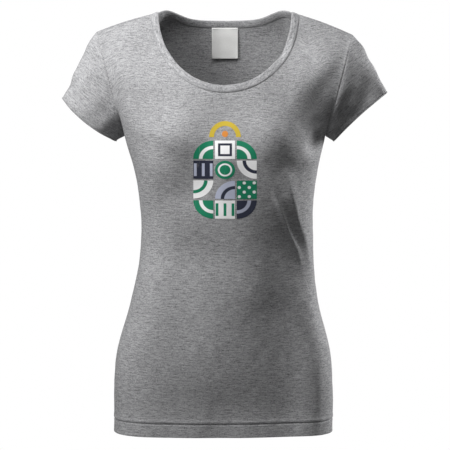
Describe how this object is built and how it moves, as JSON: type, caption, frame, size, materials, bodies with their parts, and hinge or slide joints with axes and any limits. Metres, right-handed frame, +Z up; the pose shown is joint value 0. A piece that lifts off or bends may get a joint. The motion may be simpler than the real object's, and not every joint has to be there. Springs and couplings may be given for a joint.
{
  "type": "t-shirt",
  "caption": "Women's short-sleeved T-shirt in grey heather jersey, with a scoop neck, a shaped waist, a bare neck label and a geometric chest print, filled out as when worn.",
  "frame": {"origin": "midway between the neck ends of the two shoulder seams, where the shirt hangs on its wearer", "axes": "+Z up towards the neck, -Y out of the front, +X to the right as seen from the front"},
  "size_m": [0.485, 0.2176, 0.6234],
  "materials": {
    "jersey": "matte heather knit",
    "seam_thread": "matte overlocked thread",
    "label_satin": "soft satin, bare",
    "print_green": "matte printed ink",
    "print_white": "matte printed ink",
    "print_navy": "matte printed ink",
    "print_lilac": "matte printed ink",
    "print_gold": "matte printed ink",
    "print_amber": "matte printed ink"
  },
  "bodies": {
    "root": {"front_panel": "jersey", "back_panel": "jersey", "left_sleeve": "jersey", "right_sleeve": "jersey", "neck_binding": "jersey", "body_hem": "jersey", "left_sleeve_hem": "jersey", "right_sleeve_hem": "jersey", "left_side_seam": "seam_thread", "right_side_seam": "seam_thread", "left_shoulder_seam": "seam_thread", "right_shoulder_seam": "seam_thread", "left_armhole_seam": "seam_thread", "right_armhole_seam": "seam_thread", "neck_label": "label_satin", "print_tile_01": "print_green", "print_tile_02": "print_white", "print_tile_03": "print_green", "print_tile_04": "print_navy", "print_tile_05": "print_green", "print_tile_06": "print_white", "print_tile_07": "print_white", "print_tile_08": "print_lilac", "print_tile_09": "print_green", "print_tile_10": "print_green", "print_tile_11": "print_white", "print_tile_12": "print_navy", "print_arch": "print_gold", "print_dot": "print_amber"}
  },
  "joints": []
}
